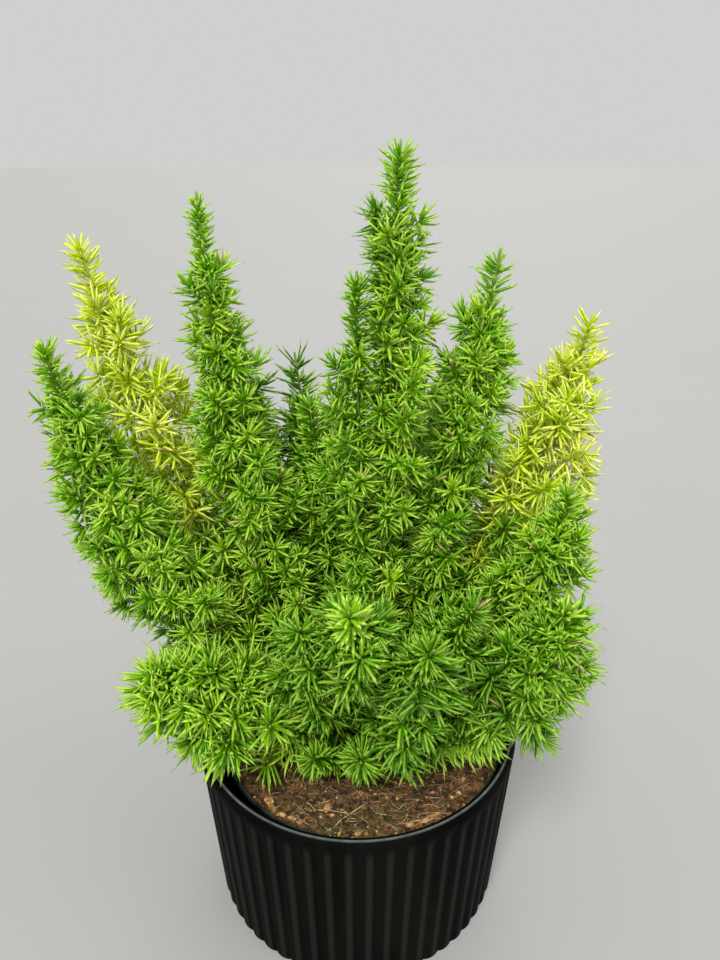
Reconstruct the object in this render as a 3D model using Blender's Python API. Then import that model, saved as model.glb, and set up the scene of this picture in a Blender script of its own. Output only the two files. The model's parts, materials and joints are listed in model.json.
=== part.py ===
"""Potted foxtail asparagus fern.

A clump of upright, bottle-brush fronds rises from one crown of rootstock. It stands in
potting mix, in a thin nursery pot that is dropped into a fluted outer planter. Each frond
is a thin tapering stem and, round it, one closed mass that has the outline of its foliage.
Units are metres, +Z is up and -Y is the front. The origin is the centre of the planter's
flat underside.
"""
import math

import bmesh
import bpy
import numpy as np

MM = 0.001
FIT = 0.0003

# Planter: a tapering fluted wall under a rounded shoulder and a thin flat rim.
PLANTER_HEIGHT = 0.106
PLANTER_FOOT_RADIUS = 0.0835
PLANTER_SHOULDER_RADIUS = 0.0895
PLANTER_RIM_RADIUS = 0.0866
PLANTER_MOUTH_RADIUS = 0.0848
PLANTER_FLOOR = 0.0025
PLANTER_WALL = 0.0030
SHOULDER_DROP = 0.0045
FLUTE_COUNT = 56
FLUTE_DEPTH = 0.0011
FLUTE_TOP_DROP = 0.0065

# Nursery pot: pushed to the front right of the planter's mouth.
POT_CENTRE = (0.0032, -0.0043)
POT_RIM_RADIUS = 0.0785
POT_FOOT_RADIUS = 0.0600
POT_WALL = 0.0010
POT_RIM_DROP = 0.0050
POT_LIP_HEIGHT = 0.0060
POT_LIP_STEP = 0.0016
POT_LIP_FOOT = 0.0004
POT_SIDES = 40

# Potting mix: level where the fronds stand, uneven farther out, and highest at the lip.
SOIL_DROP = 0.0065
SOIL_LEVEL_RADIUS = 0.034
SOIL_UNEVEN = 0.0012
SOIL_SIDES = 32

# Stems and foliage. The crown is the middle of the clump.
CROWN_CENTRE = (0.0038, -0.0025)
STEM_SIDES = 5
STEM_FOOT_RADIUS = 0.0015
STEM_TIP_RADIUS = 0.0007
FOOT_SPREAD = 0.034
FOOT_SPACING = 0.0095
PLUME_SIDES = 9
PLUME_TIP_RADIUS = 0.0085
PLUME_LUMPS = 0.05
PLUME_TIP_ROUND = 0.008
PLUME_FOOT_ROUND = 0.025
PLUME_FOOT_SHARE = 0.35
RING_STEP = 0.027
BARE_STEM = 0.013
PLUME_GAP = 0.0016
STEM_CLEARANCE = 0.0010
SOIL_CLEARANCE = 0.0030
RIM_MARGIN = 0.008
BARE_STEM_CLAIM = 0.004
LEAST_WALL = 0.0008
TIP_CAP = 0.006

# Steps used to find where neighbouring masses of foliage meet.
REACH_STEP = 0.001
FINE = 4
AXIS_SAMPLES = 33

GREEN = (0.16, 0.36, 0.035)
LIME = (0.50, 0.60, 0.05)
STEM_GREEN = (0.20, 0.30, 0.06)
BARK_BROWN = (0.10, 0.055, 0.03)
BLACK_PLASTIC = (0.022, 0.025, 0.026)

# Each frond: name, foliage colour, tip in millimetres, bend, arch, flare, girth in
# millimetres. Bend above 0 leans out early and ends upright. Arch above 0 rises early
# and ends level. Flare is how fast the foliage widens below the tip, up to the girth,
# its greatest radius.
FRONDS = (
    ("tall_centre", "green", (18, 0, 403), 0.10, 0.0, 0.17, 27),
    ("centre_side", "green", (0, -6, 352), 0.20, 0.0, 0.15, 21),
    ("tall_left", "green", (-68, 5, 383), 0.85, 0.0, 0.12, 26),
    ("lime_left", "lime", (-126, 15, 364), 0.50, 0.0, 0.19, 28),
    ("far_left", "green", (-132, -25, 327), 0.75, 0.0, 0.20, 28),
    ("inner_left", "green", (-24, 22, 288), 0.30, 0.0, 0.20, 24),
    ("small_rear", "green", (-33, 50, 303), 0.30, 0.0, 0.14, 17),
    ("tall_right", "green", (63, 5, 360), 0.45, 0.0, 0.20, 27),
    ("lime_right", "lime", (109, 10, 331), 0.50, 0.0, 0.26, 29),
    ("right_side", "green", (96, -30, 262), 0.90, 0.0, 0.28, 25),
    ("low_right", "green", (92, -62, 221), 0.85, 0.2, 0.60, 36),
    ("low_left", "green", (-106, -65, 176), -0.15, 0.8, 0.50, 36),
    ("front_centre", "green", (-3, -92, 237), -0.30, 0.2, 0.38, 28),
    ("front_right", "green", (31, -92, 219), -0.20, 0.2, 0.40, 29),
    ("front_left", "green", (-25, -80, 222), -0.10, 0.2, 0.35, 28),
    ("inner_right", "green", (52, -66, 224), 0.10, 0.1, 0.35, 28),
    ("foot_centre", "green", (2, -72, 139), 0.0, 0.3, 0.35, 15),
    ("foot_left", "green", (-24, -62, 130), 0.0, 0.3, 0.35, 15),
    ("foot_right", "green", (68, -60, 142), 0.0, 0.4, 0.35, 18),
    ("back_left", "green", (-75, 70, 300), 0.50, 0.0, 0.20, 27),
    ("back_centre", "green", (-10, 90, 268), 0.20, 0.1, 0.22, 28),
    ("back_right", "green", (52, 80, 288), 0.35, 0.0, 0.20, 27),
    ("right_rear", "green", (102, 50, 250), 0.40, 0.1, 0.24, 27),
    ("left_rear", "green", (-112, 45, 232), 0.40, 0.1, 0.24, 27),
    ("low_back_left", "green", (-58, 86, 172), 0.0, 0.5, 0.35, 26),
    ("low_back_right", "green", (45, 96, 166), 0.0, 0.5, 0.35, 26),
    ("low_left_side", "green", (-86, 12, 166), 0.0, 0.5, 0.35, 24),
    ("low_right_side", "green", (90, 20, 172), 0.0, 0.5, 0.35, 24),
)

SOIL_TOP = PLANTER_HEIGHT - POT_RIM_DROP - SOIL_DROP


def material(name, colour, roughness):
    """A plain surface of one colour."""
    made = bpy.data.materials.new(name)
    made.use_nodes = True
    shader = made.node_tree.nodes["Principled BSDF"]
    shader.inputs["Base Color"].default_value = (*colour, 1.0)
    shader.inputs["Roughness"].default_value = roughness
    return made


def add_object(name, corners, faces, surface):
    """One object from corner positions and faces."""
    mesh = bpy.data.meshes.new(name)
    mesh.from_pydata([tuple(c) for c in corners], [], faces)
    tidy = bmesh.new()
    tidy.from_mesh(mesh)
    bmesh.ops.triangulate(tidy, faces=tidy.faces[:])
    bmesh.ops.recalc_face_normals(tidy, faces=tidy.faces[:])
    tidy.to_mesh(mesh)
    tidy.free()
    mesh.materials.append(surface)
    made = bpy.data.objects.new(name, mesh)
    bpy.context.collection.objects.link(made)
    return made


def ring(radius, height, centre=(0.0, 0.0)):
    """A level ring of corners, one for each value in radius."""
    turn = np.arange(len(radius)) * math.tau / len(radius)
    x = centre[0] + radius * np.cos(turn)
    y = centre[1] + radius * np.sin(turn)
    return np.column_stack([x, y, np.broadcast_to(height, x.shape)])


class Skin:
    """Collects rings of corners and the faces that join one ring to the next."""

    def __init__(self):
        self.corners = []
        self.faces = []

    def add(self, points):
        """Adds corners and returns their numbers."""
        first = len(self.corners)
        self.corners.extend(points)
        return list(range(first, first + len(points)))

    def join(self, low, high):
        """A band between two closed rings, which may differ in their number of corners."""
        i, j = 0, 0
        while i < len(low) or j < len(high):
            a, b = low[i % len(low)], high[j % len(high)]
            if (i + 1) / len(low) <= (j + 1) / len(high):
                i += 1
                self.faces.append((a, low[i % len(low)], b))
            else:
                j += 1
                self.faces.append((a, high[j % len(high)], b))

    def fan(self, around, point):
        """Triangles from a ring to one point."""
        tip = self.add([point])[0]
        for a, b in zip(around, around[1:] + around[:1]):
            self.faces.append((a, b, tip))

    def stack(self, rings):
        """Joins rings in turn and returns the numbers of the first and last."""
        numbers = [self.add(points) for points in rings]
        for low, high in zip(numbers, numbers[1:]):
            self.join(low, high)
        return numbers[0], numbers[-1]


def build_planter(surface):
    """Fluted cachepot: hollows and ridges in turn round the wall, smooth at the shoulder."""
    flutes = np.tile([FLUTE_DEPTH, 0.0], FLUTE_COUNT)
    smooth = np.zeros(FLUTE_COUNT * 2)
    plain = np.zeros(FLUTE_COUNT)
    flute_top = PLANTER_HEIGHT - FLUTE_TOP_DROP
    shoulder = PLANTER_HEIGHT - SHOULDER_DROP
    inner_foot = PLANTER_FOOT_RADIUS - FLUTE_DEPTH - PLANTER_WALL
    rings = [
        ring(PLANTER_FOOT_RADIUS - flutes, 0.0),
        ring(PLANTER_SHOULDER_RADIUS - flutes, flute_top),
        ring(PLANTER_SHOULDER_RADIUS + smooth, shoulder),
        ring(PLANTER_RIM_RADIUS + smooth, PLANTER_HEIGHT),
        ring(PLANTER_MOUTH_RADIUS + plain, PLANTER_HEIGHT),
        ring(inner_foot + plain, PLANTER_FLOOR),
    ]
    skin = Skin()
    bottom, floor = skin.stack(rings)
    skin.fan(bottom, (0.0, 0.0, 0.0))
    skin.fan(floor, (0.0, 0.0, PLANTER_FLOOR))
    add_object("planter", skin.corners, skin.faces, surface)


def pot_inner_radius(height):
    """Radius of the nursery pot's inner wall at a height above the table."""
    low = PLANTER_FLOOR + FIT
    top = PLANTER_HEIGHT - POT_RIM_DROP
    share = (height - low) / (top - low)
    outer = POT_FOOT_RADIUS + (POT_RIM_RADIUS - POT_LIP_STEP - POT_FOOT_RADIUS) * share
    return outer - POT_WALL


def build_nursery_pot(surface):
    """Thin tapering pot with a lip that steps outwards, standing on the planter's floor."""
    low = PLANTER_FLOOR + FIT
    top = PLANTER_HEIGHT - POT_RIM_DROP
    lip = top - POT_LIP_HEIGHT
    floor = low + 2 * POT_WALL
    lip_foot = lip + POT_LIP_FOOT
    lip_inside = POT_RIM_RADIUS - POT_WALL
    under_lip = pot_inner_radius(lip) + POT_WALL
    even = np.zeros(POT_SIDES)
    rings = [
        ring(POT_FOOT_RADIUS + even, low, POT_CENTRE),
        ring(under_lip + even, lip, POT_CENTRE),
        ring(POT_RIM_RADIUS + even, lip + POT_LIP_STEP, POT_CENTRE),
        ring(POT_RIM_RADIUS + even, top, POT_CENTRE),
        ring(lip_inside + even, top, POT_CENTRE),
        ring(lip_inside + even, lip_foot + POT_LIP_STEP, POT_CENTRE),
        ring(pot_inner_radius(lip_foot) + even, lip_foot, POT_CENTRE),
        ring(pot_inner_radius(floor) + even, floor, POT_CENTRE),
    ]
    skin = Skin()
    bottom, inside = skin.stack(rings)
    skin.fan(bottom, (*POT_CENTRE, low))
    skin.fan(inside, (*POT_CENTRE, floor))
    add_object("nursery_pot", skin.corners, skin.faces, surface)


def build_soil(surface):
    """The plug of potting mix: fills the nursery pot to its lip, and rises to it all round."""
    chance = np.random.default_rng(5)
    low = PLANTER_FLOOR + FIT + 2 * POT_WALL + FIT
    even = np.zeros(SOIL_SIDES)
    edge_fit = 2 * FIT + pot_inner_radius(SOIL_TOP) * (1 - math.cos(math.pi / POT_SIDES))
    lip_foot = PLANTER_HEIGHT - POT_RIM_DROP - POT_LIP_HEIGHT + POT_LIP_FOOT
    under_lip = pot_inner_radius(lip_foot) - edge_fit
    edge = POT_RIM_RADIUS - POT_WALL - edge_fit
    foot = pot_inner_radius(low) - edge_fit
    middle = (edge + SOIL_LEVEL_RADIUS) / 2
    rings = [
        ring(foot + even, low, POT_CENTRE),
        ring(under_lip + even, lip_foot, POT_CENTRE),
        ring(edge + even, lip_foot + POT_LIP_STEP, POT_CENTRE),
        ring(middle + even, SOIL_TOP + chance.normal(0, SOIL_UNEVEN, SOIL_SIDES), POT_CENTRE),
        ring(SOIL_LEVEL_RADIUS + even, SOIL_TOP, CROWN_CENTRE),
    ]
    skin = Skin()
    bottom, level = skin.stack(rings)
    skin.fan(bottom, (*POT_CENTRE, low))
    skin.fan(level, (*CROWN_CENTRE, SOIL_TOP))
    add_object("soil", skin.corners, skin.faces, surface)


def seat_feet(tips):
    """Where each stem leaves the soil: on its own side of the crown, low fronds outermost."""
    reach = tips[:, :2] - CROWN_CENTRE
    distance = np.linalg.norm(reach, axis=1)
    slope = np.arctan2(tips[:, 2] - SOIL_TOP, distance)
    feet = reach / distance[:, None] * (FOOT_SPREAD * (1 - slope / (math.pi / 2)))[:, None]
    for _ in range(400):
        away = feet[:, None] - feet[None]
        apart = np.linalg.norm(away, axis=2) + np.eye(len(feet))
        push = np.clip(FOOT_SPACING - apart, 0, None) / 2
        np.fill_diagonal(push, 0)
        feet = feet + 0.5 * (away / apart[:, :, None] * push[:, :, None]).sum(1)
    return feet + CROWN_CENTRE


class Frond:
    """The line of one stem, and the radius of the foliage round it."""

    def __init__(self, row, foot, seed):
        self.name, self.tint, tip, self.bend, self.arch, self.flare, girth = row
        self.foot = np.array([*foot, SOIL_TOP + FIT])
        self.reach = np.array(tip) * MM - self.foot
        self.girth = girth * MM
        self.phase = np.random.default_rng(seed).uniform(0, math.tau, 4)
        heading = math.atan2(self.reach[1], self.reach[0])
        self.across = np.array([-math.sin(heading), math.cos(heading), 0.0])
        self.samples = self.line(np.linspace(0, 1, AXIS_SAMPLES))
        steps = np.linalg.norm(np.diff(self.samples, axis=0), axis=1)
        self.run = np.concatenate([[0], np.cumsum(steps)])
        self.length = self.run[-1]

    def line(self, share):
        """Points on the stem's centre: a parabola that leans out and rises."""
        share = np.asarray(share)
        bow = share * (1 - share)
        out = share + self.bend * bow
        rise = share + self.arch * bow
        return self.foot + np.column_stack([out, out, rise]) * self.reach

    def along(self, distance):
        """Points at distances measured along the stem from the soil."""
        share = np.interp(distance, self.run, np.linspace(0, 1, AXIS_SAMPLES))
        return self.line(share)

    def turned(self, distance):
        """At each point, the unit vectors along the stem and square to it, towards its upper side."""
        step = 0.001
        ahead = self.along(np.minimum(distance + step, self.length))
        behind = self.along(np.maximum(distance - step, 0))
        forward = ahead - behind
        forward /= np.linalg.norm(forward, axis=1)[:, None]
        return forward, np.cross(forward, self.across)

    def stem_radius(self, distance):
        """The stem tapers evenly from soil to tip."""
        return STEM_FOOT_RADIUS + (STEM_TIP_RADIUS - STEM_FOOT_RADIUS) * distance / self.length

    def foliage_radius(self, distance):
        """Widens below the tip up to the girth, with round ends above and below."""
        below_tip = np.clip(self.length - distance, 0, None)
        above_foot = np.clip(distance - BARE_STEM, 0, None)
        radius = np.minimum(PLUME_TIP_RADIUS + self.flare * below_tip, self.girth)
        round_tip = np.sqrt(np.clip(below_tip / PLUME_TIP_ROUND, 0, 1))
        round_foot = np.sqrt(np.clip(above_foot / PLUME_FOOT_ROUND, 0, 1))
        return radius * round_tip * (PLUME_FOOT_SHARE + (1 - PLUME_FOOT_SHARE) * round_foot)

    def lumps(self, distance, turn):
        """Uneven outline: slow waves round the frond and along it."""
        waves = ((1, 150), (2, 70), (3, -110), (4, 60))
        height = sum(
            np.sin(round_count * turn + pitch * distance + start)
            for (round_count, pitch), start in zip(waves, self.phase)
        )
        return 1 + PLUME_LUMPS * height


def distance_to_stem(points, frond):
    """Shortest distance from each point to a stem's centre, and how far along it that is."""
    start = frond.samples[:-1:2]
    leg = frond.samples[2::2] - start
    best = np.full(len(points), np.inf)
    where = np.zeros(len(points))
    for number, (origin, step) in enumerate(zip(start, leg)):
        share = np.clip((points - origin) @ step / (step @ step), 0, 1)
        gap = np.linalg.norm(points - origin - share[:, None] * step, axis=1)
        nearer = gap < best
        best = np.where(nearer, gap, best)
        run = frond.run[2 * number] + share * (frond.run[2 * number + 2] - frond.run[2 * number])
        where = np.where(nearer, run, where)
    return best, where


def claim(frond, where):
    """How strongly a frond holds the space round it: its foliage radius, or a bare stem's."""
    return np.maximum(frond.foliage_radius(where), BARE_STEM_CLAIM)


def floor_height(points):
    """Lowest height that foliage reaches: above the soil, and above the pots' rims."""
    outward = np.hypot(points[:, 0] - CROWN_CENTRE[0], points[:, 1] - CROWN_CENTRE[1])
    over_rim = outward > pot_inner_radius(SOIL_TOP) - RIM_MARGIN
    return np.where(over_rim, PLANTER_HEIGHT, SOIL_TOP) + SOIL_CLEARANCE


def free_reach(frond, others, distance, turn):
    """How far the foliage reaches from the stem, each way, before its outline or a neighbour."""
    grid_run, grid_turn = np.meshgrid(distance, turn, indexing="ij")
    run, angle = grid_run.ravel(), grid_turn.ravel()
    _, upward = frond.turned(run)
    ray = frond.across * np.cos(angle)[:, None] + upward * np.sin(angle)[:, None]
    outline = frond.foliage_radius(run) * frond.lumps(run, angle)
    centre = frond.along(run)
    own = claim(frond, run)
    reach = np.zeros(len(run))
    free = np.arange(len(run))
    for step in np.arange(REACH_STEP, outline.max(), REACH_STEP):
        points = centre[free] + ray[free] * step
        inside = (step <= outline[free]) & (points[:, 2] > floor_height(points))
        free, points = free[inside], points[inside]
        for other in others:
            gap, where = distance_to_stem(points, other)
            theirs = claim(other, where)
            lead = (gap * own[free] - step * theirs) / ((own[free] + theirs) / 2)
            clear = gap > other.stem_radius(where) + STEM_CLEARANCE
            inside = (lead > PLUME_GAP) & clear
            free, points = free[inside], points[inside]
        reach[free] = step
    return reach.reshape(grid_run.shape)


def blend_table(fine, coarse, closed):
    """Shares of each coarse corner in each fine place between them."""
    spacing = fine // coarse if closed else (fine - 1) // (coarse - 1)
    place = np.arange(fine)[:, None] / spacing
    apart = np.abs(place - np.arange(coarse)[None])
    if closed:
        apart = np.minimum(apart, coarse - apart)
    return np.clip(1 - apart, 0, None)


def corner_reach(reach):
    """Corner radii, as large as they can be with every facet between them inside the reach."""
    rows = (reach.shape[0] - 1) // FINE + 1
    shares = np.kron(
        blend_table(reach.shape[0], rows, False),
        blend_table(reach.shape[1], PLUME_SIDES, True),
    )
    corners = reach[::FINE, ::FINE].ravel()
    for _ in range(120):
        excess = np.clip(shares @ corners - reach.ravel(), 0, None)
        corners = corners - (shares * excess[:, None]).max(axis=0)
    return corners.reshape(rows, PLUME_SIDES)


class Sections:
    """The places along one frond where its stem and its foliage have their rings."""

    def __init__(self, frond):
        self.frond = frond
        top = frond.length - TIP_CAP
        steps = max(4, round((top - BARE_STEM) / RING_STEP))
        self.fine = np.linspace(BARE_STEM, top, steps * FINE + 1)
        self.run = self.fine[::FINE]
        self.centre = frond.along(self.run)
        self.forward, self.upward = frond.turned(self.run)
        self.stem = frond.stem_radius(self.run)

    def ring(self, number, radius, sides):
        """A ring square to the stem."""
        angle = np.arange(sides) * math.tau / sides
        arm = np.outer(np.cos(angle), self.frond.across)
        arm += np.outer(np.sin(angle), self.upward[number])
        return self.centre[number] + arm * np.broadcast_to(radius, sides)[:, None]


def build_plume(frond, others, sections, surface):
    """The foliage: an uneven closed mass with a blind hole in which the stem stands."""
    turn = np.arange(PLUME_SIDES * FINE) * math.tau / (PLUME_SIDES * FINE)
    corners = corner_reach(free_reach(frond, others, sections.fine, turn))
    hollow = sections.stem + FIT / math.cos(math.pi / STEM_SIDES)
    corners = np.maximum(corners, hollow[:, None] + LEAST_WALL)
    count = len(sections.run)
    skin = Skin()
    bottom, crest = skin.stack([sections.ring(i, corners[i], PLUME_SIDES) for i in range(count)])
    skin.fan(crest, frond.line(np.ones(1))[0])
    mouth, blind = skin.stack([sections.ring(i, hollow[i], STEM_SIDES) for i in range(count - 1)])
    skin.join(bottom, mouth)
    skin.fan(blind, sections.centre[-2] + sections.forward[-2] * 3 * FIT)
    add_object("plume_" + frond.name, skin.corners, skin.faces, surface)


def build_stem(frond, sections, surface):
    """The stem: flat on the soil, one even taper, ending inside the foliage."""
    angle = np.arange(STEM_SIDES) * math.tau / STEM_SIDES
    level = np.outer(np.cos(angle), frond.across)
    level += np.outer(np.sin(angle), np.cross((0, 0, 1), frond.across))
    rings = [frond.foot + level * STEM_FOOT_RADIUS]
    count = len(sections.run)
    rings += [sections.ring(i, sections.stem[i], STEM_SIDES) for i in range(count - 1)]
    skin = Skin()
    foot, top = skin.stack(rings)
    skin.fan(foot, frond.foot)
    skin.fan(top, sections.centre[-2])
    add_object("stem_" + frond.name, skin.corners, skin.faces, surface)


def build():
    """The pots and soil, then the fronds one by one."""
    plastic = material("black_plastic", BLACK_PLASTIC, 0.5)
    thin_plastic = material("nursery_plastic", BLACK_PLASTIC, 0.4)
    build_planter(plastic)
    build_nursery_pot(thin_plastic)
    build_soil(material("potting_mix", BARK_BROWN, 0.95))
    stem_surface = material("stem", STEM_GREEN, 0.6)
    foliage = {
        "green": material("foliage_green", GREEN, 0.5),
        "lime": material("foliage_lime", LIME, 0.5),
    }
    tips = np.array([row[2] for row in FRONDS]) * MM
    feet = seat_feet(tips)
    fronds = [Frond(row, foot, seed) for seed, (row, foot) in enumerate(zip(FRONDS, feet))]
    for frond in fronds:
        others = [other for other in fronds if other is not frond]
        sections = Sections(frond)
        build_stem(frond, sections, stem_surface)
        build_plume(frond, others, sections, foliage[frond.tint])


for leftover in list(bpy.data.objects):
    bpy.data.objects.remove(leftover, do_unlink=True)
build()
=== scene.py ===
"""Potted foxtail asparagus fern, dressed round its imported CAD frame.

Each frond's stem and plume in the frame become a ridged stem, side shoots grown on from it
and needles grown on from both, cut to the plume's outline. The planter, the nursery pot and
the potting mix are made again as finer surfaces in the same places. Units are metres.
"""

import json
import math

import bpy
import numpy as np
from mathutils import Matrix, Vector
from mathutils.bvhtree import BVHTree


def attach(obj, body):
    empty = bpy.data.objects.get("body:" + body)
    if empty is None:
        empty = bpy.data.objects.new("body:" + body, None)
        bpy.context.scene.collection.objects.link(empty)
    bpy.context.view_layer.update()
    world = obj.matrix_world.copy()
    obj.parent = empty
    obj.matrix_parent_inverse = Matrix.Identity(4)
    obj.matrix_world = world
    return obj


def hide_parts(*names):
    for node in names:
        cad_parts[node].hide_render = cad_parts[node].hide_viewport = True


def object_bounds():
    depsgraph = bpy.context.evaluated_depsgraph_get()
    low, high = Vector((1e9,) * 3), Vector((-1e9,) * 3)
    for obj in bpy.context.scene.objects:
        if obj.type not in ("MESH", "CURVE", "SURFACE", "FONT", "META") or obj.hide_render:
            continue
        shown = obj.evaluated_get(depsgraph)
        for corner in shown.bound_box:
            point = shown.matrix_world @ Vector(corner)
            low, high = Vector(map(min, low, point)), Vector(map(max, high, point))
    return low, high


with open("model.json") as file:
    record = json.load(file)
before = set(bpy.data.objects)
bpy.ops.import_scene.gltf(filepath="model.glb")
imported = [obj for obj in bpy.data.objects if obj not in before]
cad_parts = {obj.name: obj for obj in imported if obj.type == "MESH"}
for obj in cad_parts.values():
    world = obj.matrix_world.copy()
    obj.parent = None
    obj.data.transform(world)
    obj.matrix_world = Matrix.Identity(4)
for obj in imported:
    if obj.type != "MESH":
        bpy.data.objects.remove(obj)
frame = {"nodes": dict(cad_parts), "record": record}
cad_box = [list(corner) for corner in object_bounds()]


# Camera.
# Stands just in front of the plant, level with its tip, and looks down on pot and fronds.
CAMERA_PLACE = (0.0015, -0.3235, 0.3963)
CAMERA_DIP = 24.2

lens = bpy.data.cameras.new("camera")
lens.sensor_width = 36
lens.lens = 27.04
lens.clip_start = 0.01
camera = bpy.data.objects.new("camera", lens)
camera.location = CAMERA_PLACE
camera.rotation_euler = (math.radians(90 - CAMERA_DIP), 0, 0)
bpy.context.scene.collection.objects.link(camera)
bpy.context.scene.camera = camera
bpy.context.scene.view_settings.view_transform = "Standard"


# Studio.
# A wide pale floor that meets a pale surround, and broad soft lamps so far off that the floor
# is evenly lit: the key high at the front left, then one from the right and one from behind.
FLOOR_RADIUS = 30.0
FLOOR_SIDES = 96
LAMPS = (
    # name, direction it shines from, spread in degrees, strength
    ("key_lamp", (-0.35, -1.05, 1.45), 18, 2.25),
    ("side_lamp", (1.2, -0.4, 0.9), 40, 0.45),
    ("rear_lamp", (0.2, 1.3, 0.9), 40, 0.45),
)
SURROUND_STRENGTH = 0.78


def shade(red, green, blue):
    """A colour as a screen shows it, 0 to 255, turned to the linear light a shader takes."""
    screen = np.array([red, green, blue]) / 255
    linear = np.where(screen > 0.04045, ((screen + 0.055) / 1.055) ** 2.4, screen / 12.92)
    return (*linear.tolist(), 1.0)


class Socket:
    """One output in a material. Sums with it add Math nodes, and node() adds any other node."""

    def __init__(self, tree, output=None):
        self.tree, self.output = tree, output

    def node(self, kind, settings, inputs, output=0):
        """Adds a node. Its settings go on first, and then its sockets get values or links."""
        made = self.tree.nodes.new("ShaderNode" + kind)
        for key, value in settings.items():
            setattr(made, key, value)
        for key, value in inputs.items():
            if isinstance(value, Socket):
                self.tree.links.new(value.output, made.inputs[key])
            else:
                made.inputs[key].default_value = value
        return Socket(self.tree, made.outputs[output])

    def maths(self, operation, *others):
        """A Math node on this value and, where the operation takes more, on others."""
        return self.node("Math", {"operation": operation}, dict(enumerate((self, *others))))

    def __add__(self, other):
        return self.maths("ADD", other)

    __radd__ = __add__

    def __sub__(self, other):
        return self.maths("SUBTRACT", other)

    def __rsub__(self, other):
        return self.node("Math", {"operation": "SUBTRACT"}, {0: other, 1: self})

    def __mul__(self, other):
        return self.maths("MULTIPLY", other)

    __rmul__ = __mul__

    def rise(self, low, high):
        """0 below low, 1 above high, and a smooth step between."""
        limits = {"Value": self, "From Min": low, "From Max": high}
        return self.node("MapRange", {"interpolation_type": "SMOOTHSTEP"}, limits)

    def blend(self, first, second):
        """A colour between two, by this value from 0 to 1."""
        return self.node("Mix", {"data_type": "RGBA"}, {0: self, 6: first, 7: second}, 2)

    def noise(self, scale, detail=3.0, roughness=0.55, stretch=(1, 1, 1)):
        """Soft random value at this place, with so many features to the metre."""
        place = self.node("Mapping", {}, {"Vector": self, "Scale": stretch})
        inputs = {"Vector": place, "Scale": scale, "Detail": detail, "Roughness": roughness}
        return self.node("TexNoise", {}, inputs)

    def along(self, axis):
        """One coordinate of this place."""
        return self.node("SeparateXYZ", {}, {"Vector": self}, axis)


def begin_finish(name):
    """A new material, and its object coordinates, from which its patterns are worked out."""
    material = bpy.data.materials.new(name)
    material.use_nodes = True
    material.node_tree.nodes.clear()
    return material, Socket(material.node_tree).node("TexCoord", {}, {}, "Object")


def end_finish(material, place, colour, roughness, height=None, depth=0.0, gloss=0.5):
    """Closes a material: its colour, its roughness, a bump of the given depth, and its gloss."""
    inputs = {"Base Color": colour, "Roughness": roughness, "Specular IOR Level": gloss}
    if height is not None:
        inputs["Normal"] = place.node("Bump", {}, {"Height": height, "Distance": depth})
    shader = place.node("BsdfPrincipled", {}, inputs)
    closing = place.tree.nodes.new("ShaderNodeOutputMaterial")
    place.tree.links.new(shader.output, closing.inputs["Surface"])


floor_finish, place = begin_finish("pale_floor")
cloud = place.noise(3.0)
end_finish(
    floor_finish, place, cloud.blend(shade(169, 169, 167), shade(175, 175, 173)),
    cloud * 0.1 + 0.6,
)

turn = np.arange(FLOOR_SIDES) * math.tau / FLOOR_SIDES
floor_edge = np.column_stack([np.cos(turn), np.sin(turn), 0 * turn]) * FLOOR_RADIUS
floor_mesh = bpy.data.meshes.new("floor")
floor_mesh.from_pydata(floor_edge.tolist(), [], [list(range(FLOOR_SIDES))])
floor_mesh.materials.append(floor_finish)
floor = bpy.data.objects.new("floor", floor_mesh)
bpy.context.scene.collection.objects.link(floor)

for name, spot, spread, power in LAMPS:
    light = bpy.data.lights.new(name, "SUN")
    light.angle, light.energy = math.radians(spread), power
    lamp = bpy.data.objects.new(name, light)
    lamp.location = spot
    lamp.rotation_euler = (-Vector(spot)).to_track_quat("-Z", "Y").to_euler()
    bpy.context.scene.collection.objects.link(lamp)

surround = bpy.data.worlds.new("surround")
surround.use_nodes = True
backing = surround.node_tree.nodes["Background"]
backing.inputs["Color"].default_value = shade(232, 232, 230)
backing.inputs["Strength"].default_value = SURROUND_STRENGTH
bpy.context.scene.world = surround


# Planter.
# The outer cachepot: moulded near-black plastic with a satin grain, fluted from the foot to a
# smooth rounded shoulder, with a painted highlight a little past each flute's crest. Its thin rim
# is grey along the top edge, partly rubbed wear and partly a painted highlight.
PLANTER_HEIGHT = 0.106
PLANTER_FOOT = 0.0835
PLANTER_SHOULDER = 0.0895
PLANTER_RIM = 0.0866
PLANTER_MOUTH = 0.0848
PLANTER_FLOOR = 0.0025
PLANTER_WALL = 0.003
PLANTER_RECESS = 0.0004
PLANTER_FOOT_ROLL = 0.0008
UNDERSIDE_CENTRE = 0.030
SHOULDER_DROP = 0.0045
# The rim's grey line, partly rubbed wear and partly a painted highlight, starts and is full at
# these heights and at these radii.
RIM_WEAR_AND_HIGHLIGHT_HEIGHT = (0.1056, 0.10595)
RIM_WEAR_AND_HIGHLIGHT_RADIUS = (0.0861, 0.0864)
FLUTES = 56
FLUTE_DEPTH = 0.0011
# Depth under the rim where the flutes are at their full depth, and where they end.
FLUTE_FADE = (0.0110, 0.0030)
# The painted highlight on each flute lies a little past its crest: half a turn of the flute less
# 0.7.
CREST_HIGHLIGHT_PHASE = 2.44
PLANTER_COLUMNS = FLUTES * 12


def tube_faces(tubes, rows, sides):
    """Faces of equal tubes: rows x sides points each, then a point that closes the foot and
    one that closes the top."""
    size = rows * sides + 2
    row, side = np.arange(rows - 1)[:, None] * sides, np.arange(sides)
    ahead = (side + 1) % sides
    quads = np.stack([row + side, row + ahead, row + sides + ahead, row + sides + side], -1)
    last = (rows - 1) * sides
    foot = np.column_stack([0 * side + size - 2, ahead, side])
    top = np.column_stack([0 * side + size - 1, last + side, last + ahead])
    shift = np.arange(tubes)[:, None, None] * size
    quads = (quads.reshape(-1, 4) + shift).reshape(-1, 4)
    return quads, (np.concatenate([foot, top]) + shift).reshape(-1, 3)


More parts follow.
